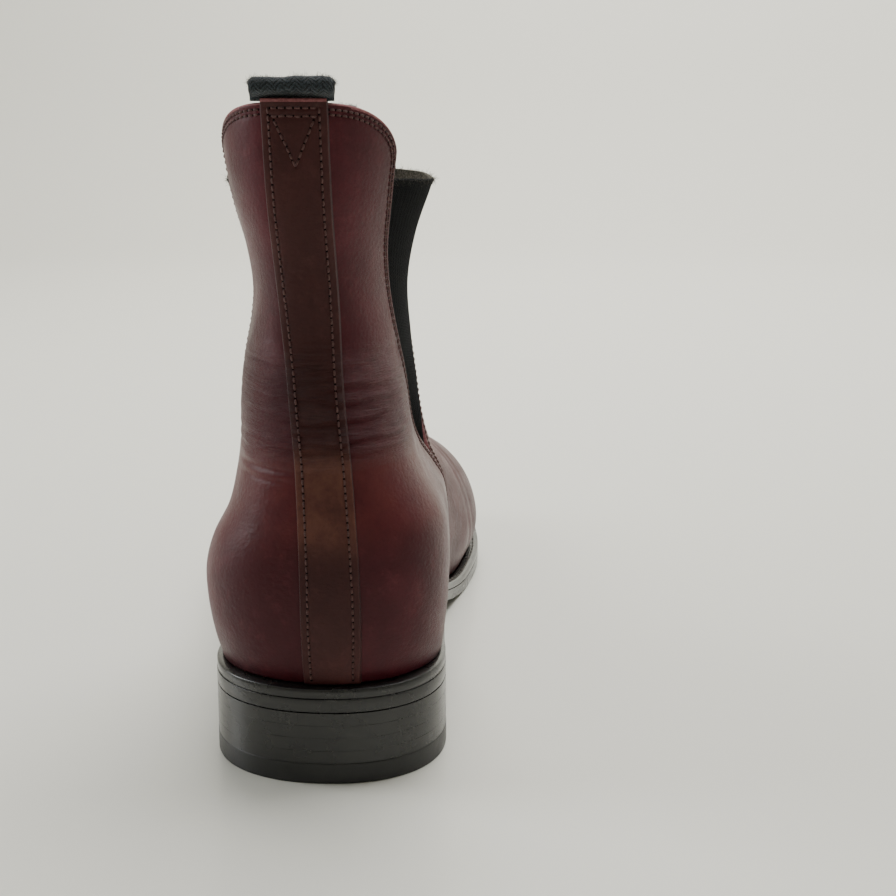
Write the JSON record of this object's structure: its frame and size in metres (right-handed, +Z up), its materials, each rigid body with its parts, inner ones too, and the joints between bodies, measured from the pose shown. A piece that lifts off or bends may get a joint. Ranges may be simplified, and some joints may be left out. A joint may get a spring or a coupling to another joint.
{
  "type": "chelsea boot",
  "caption": "Ankle-high leather chelsea boot for a left foot, with elastic side gussets, pull loops and a low stacked heel.",
  "frame": {"origin": "centre of the heel's tread face, on the floor", "axes": "+Y points to the toe, +X to the inner (medial) side of the left foot, +Z up"},
  "size_m": [0.0988, 0.3015, 0.1958],
  "materials": {
    "upper_leather": "smooth polished oxblood leather",
    "backstay_leather": "smooth polished brown burgundy leather",
    "lining_leather": "undyed lining leather, matt",
    "elastic": "black ribbed elastic webbing",
    "webbing": "black herringbone webbing, slightly fuzzy",
    "polished_edge": "stacked leather with waxed black edge",
    "top_piece_rubber": "black rubber, polished edge",
    "fibre_board": "matt leatherboard",
    "cork": "granular cork",
    "steel": "plain steel"
  },
  "bodies": {
    "boot": {"heel_top_piece": "top_piece_rubber", "heel_lift_1": "polished_edge", "heel_lift_2": "polished_edge", "heel_lift_3": "polished_edge", "heel_lift_4": "polished_edge", "heel_rand": "polished_edge", "welt": "polished_edge", "outsole": "polished_edge", "heel_nail_1": "steel", "heel_nail_2": "steel", "heel_nail_3": "steel", "heel_nail_4": "steel", "heel_nail_5": "steel", "shank": "steel", "cork_filler": "cork", "seat_filler": "fibre_board", "insole": "fibre_board", "toe_puff": "fibre_board", "heel_counter": "fibre_board", "sock_liner": "lining_leather", "vamp_lining": "lining_leather", "quarter_lining_lateral": "lining_leather", "quarter_lining_medial": "lining_leather", "vamp": "upper_leather", "quarter_lateral": "upper_leather", "quarter_medial": "upper_leather", "backstay": "backstay_leather", "gusset_lateral": "elastic", "gusset_medial": "elastic", "rear_loop_tail": "webbing"},
    "front_shaft": {"front_shaft": "upper_leather", "front_shaft_lining": "lining_leather", "front_loop_tail": "webbing"},
    "front_loop": {"front_pull_loop": "webbing"},
    "rear_loop": {"rear_pull_loop": "webbing"}
  },
  "joints": [
    {"name": "shaft_opening", "type": "hinge", "parent": "boot", "child": "front_shaft", "pos_m": [0, 0.0697, 0.1185], "axis": [-1, 0, 0], "range_deg": [0, 12], "stiffness_Nm_per_rad": 2.5, "deforming": ["gusset_lateral", "gusset_medial"]},
    {"name": "front_loop_flip", "type": "hinge", "parent": "front_shaft", "child": "front_loop", "pos_m": [-0.0057, 0.066, 0.181], "axis": [1, 0, 0], "range_deg": [-25, 25], "stiffness_Nm_per_rad": 0.01},
    {"name": "rear_loop_flip", "type": "hinge", "parent": "boot", "child": "rear_loop", "pos_m": [-0.0062, -0.02796, 0.1893], "axis": [1, 0, 0], "range_deg": [-22, 22], "stiffness_Nm_per_rad": 0.01}
  ]
}
